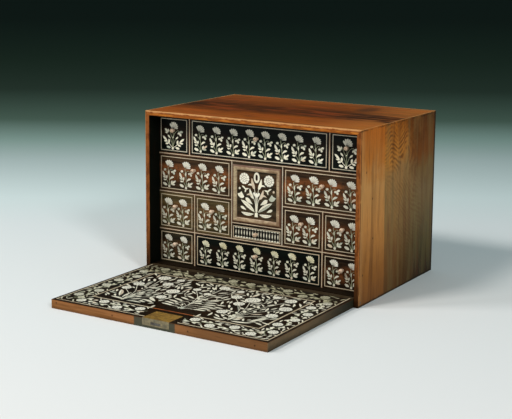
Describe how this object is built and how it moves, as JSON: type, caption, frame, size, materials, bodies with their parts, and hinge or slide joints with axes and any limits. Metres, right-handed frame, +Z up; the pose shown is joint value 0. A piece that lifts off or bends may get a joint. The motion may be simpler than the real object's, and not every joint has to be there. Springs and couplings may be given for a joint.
{
  "type": "vargueno",
  "caption": "Fall-front table cabinet with an inlaid flap that drops open to show a nest of inlaid drawers around a locking deep drawer.",
  "frame": {"origin": "centre of the carcase's underside, on the surface that the cabinet stands on", "axes": "+X along the width to the right of someone facing the drawers, -Y out of the front, where the open flap lies, +Z up"},
  "size_m": [0.54, 0.708, 0.37],
  "materials": {
    "carcase_wood": "waxed, worn satin",
    "backing_wood": "plain, aged",
    "nest_wood": "satin, lined with bone stringing",
    "flap_veneer": "polished veneer inlaid with bone",
    "black_front": "polished ebony inlaid with bone",
    "brown_front": "polished rosewood inlaid with bone",
    "drawer_lining_wood": "plain, unpolished",
    "bone": "polished bone",
    "moulding_bone": "polished, yellowed",
    "lock_brass": "tarnished",
    "lock_iron": "dark, aged"
  },
  "bodies": {
    "case": {"case_top": "carcase_wood", "case_bottom": "backing_wood", "side_left": "carcase_wood", "side_right": "carcase_wood", "case_back": "backing_wood", "shelves_long": "nest_wood", "shelves_short": "nest_wood", "partitions_short": "nest_wood", "partitions_tall": "nest_wood", "pivot_pins": "lock_iron"},
    "flap": {"flap": "flap_veneer", "lock_plate": "lock_brass", "lock_case": "lock_iron"},
    "flap_bolt": {"lock_bolt": "lock_iron"},
    "top_left_drawer": {"top_left_drawer_front": "black_front", "top_left_drawer_box": "drawer_lining_wood", "top_left_drawer_knob": "bone"},
    "top_middle_drawer": {"top_middle_drawer_front": "black_front", "top_middle_drawer_box": "drawer_lining_wood", "top_middle_drawer_knob": "bone"},
    "top_right_drawer": {"top_right_drawer_front": "black_front", "top_right_drawer_box": "drawer_lining_wood", "top_right_drawer_knob": "bone"},
    "upper_left_drawer": {"upper_left_drawer_front": "brown_front", "upper_left_drawer_box": "drawer_lining_wood", "upper_left_drawer_knob": "bone"},
    "upper_right_drawer": {"upper_right_drawer_front": "brown_front", "upper_right_drawer_box": "drawer_lining_wood", "upper_right_drawer_knob": "bone"},
    "lower_outer_left_drawer": {"lower_outer_left_drawer_front": "brown_front", "lower_outer_left_drawer_box": "drawer_lining_wood", "lower_outer_left_drawer_knob": "bone"},
    "lower_inner_left_drawer": {"lower_inner_left_drawer_front": "brown_front", "lower_inner_left_drawer_box": "drawer_lining_wood", "lower_inner_left_drawer_knob": "bone"},
    "lower_inner_right_drawer": {"lower_inner_right_drawer_front": "brown_front", "lower_inner_right_drawer_box": "drawer_lining_wood", "lower_inner_right_drawer_knob": "bone"},
    "lower_outer_right_drawer": {"lower_outer_right_drawer_front": "brown_front", "lower_outer_right_drawer_box": "drawer_lining_wood", "lower_outer_right_drawer_knob": "bone"},
    "bottom_left_drawer": {"bottom_left_drawer_front": "brown_front", "bottom_left_drawer_box": "drawer_lining_wood", "bottom_left_drawer_knob": "bone"},
    "bottom_middle_drawer": {"bottom_middle_drawer_front": "black_front", "bottom_middle_drawer_box": "drawer_lining_wood", "bottom_middle_drawer_knob": "bone"},
    "bottom_right_drawer": {"bottom_right_drawer_front": "brown_front", "bottom_right_drawer_box": "drawer_lining_wood", "bottom_right_drawer_knob": "bone"},
    "baluster_drawer": {"baluster_drawer_front": "brown_front", "baluster_drawer_box": "drawer_lining_wood", "baluster_drawer_knob": "bone", "baluster_row": "bone"},
    "deep_drawer": {"deep_drawer_front": "brown_front", "deep_drawer_box": "drawer_lining_wood", "deep_drawer_moulding": "moulding_bone", "deep_drawer_escutcheon": "bone", "drawer_lock_case": "lock_iron"},
    "deep_drawer_bolt": {"drawer_lock_bolt": "lock_iron"}
  },
  "joints": [
    {"name": "flap_hinge", "type": "hinge", "parent": "case", "child": "flap", "pos_m": [0, -0.175, 0.0095], "axis": [1, 0, 0], "range_deg": [-90, 0]},
    {"name": "flap_bolt_slide", "type": "slide", "parent": "flap", "child": "flap_bolt", "axis": [0, -1, 0], "range_m": [0, 0.006]},
    {"name": "top_left_drawer_slide", "type": "slide", "parent": "case", "child": "top_left_drawer", "axis": [0, -1, 0], "range_m": [0, 0.24]},
    {"name": "top_middle_drawer_slide", "type": "slide", "parent": "case", "child": "top_middle_drawer", "axis": [0, -1, 0], "range_m": [0, 0.24]},
    {"name": "top_right_drawer_slide", "type": "slide", "parent": "case", "child": "top_right_drawer", "axis": [0, -1, 0], "range_m": [0, 0.24]},
    {"name": "upper_left_drawer_slide", "type": "slide", "parent": "case", "child": "upper_left_drawer", "axis": [0, -1, 0], "range_m": [0, 0.24]},
    {"name": "upper_right_drawer_slide", "type": "slide", "parent": "case", "child": "upper_right_drawer", "axis": [0, -1, 0], "range_m": [0, 0.24]},
    {"name": "lower_outer_left_drawer_slide", "type": "slide", "parent": "case", "child": "lower_outer_left_drawer", "axis": [0, -1, 0], "range_m": [0, 0.24]},
    {"name": "lower_inner_left_drawer_slide", "type": "slide", "parent": "case", "child": "lower_inner_left_drawer", "axis": [0, -1, 0], "range_m": [0, 0.24]},
    {"name": "lower_inner_right_drawer_slide", "type": "slide", "parent": "case", "child": "lower_inner_right_drawer", "axis": [0, -1, 0], "range_m": [0, 0.24]},
    {"name": "lower_outer_right_drawer_slide", "type": "slide", "parent": "case", "child": "lower_outer_right_drawer", "axis": [0, -1, 0], "range_m": [0, 0.24]},
    {"name": "bottom_left_drawer_slide", "type": "slide", "parent": "case", "child": "bottom_left_drawer", "axis": [0, -1, 0], "range_m": [0, 0.24]},
    {"name": "bottom_middle_drawer_slide", "type": "slide", "parent": "case", "child": "bottom_middle_drawer", "axis": [0, -1, 0], "range_m": [0, 0.24]},
    {"name": "bottom_right_drawer_slide", "type": "slide", "parent": "case", "child": "bottom_right_drawer", "axis": [0, -1, 0], "range_m": [0, 0.24]},
    {"name": "baluster_drawer_slide", "type": "slide", "parent": "case", "child": "baluster_drawer", "axis": [0, -1, 0], "range_m": [0, 0.24]},
    {"name": "deep_drawer_slide", "type": "slide", "parent": "case", "child": "deep_drawer", "axis": [0, -1, 0], "range_m": [0, 0.24]},
    {"name": "deep_drawer_bolt_slide", "type": "slide", "parent": "deep_drawer", "child": "deep_drawer_bolt", "axis": [0, 0, 1], "range_m": [0, 0.0036]}
  ]
}
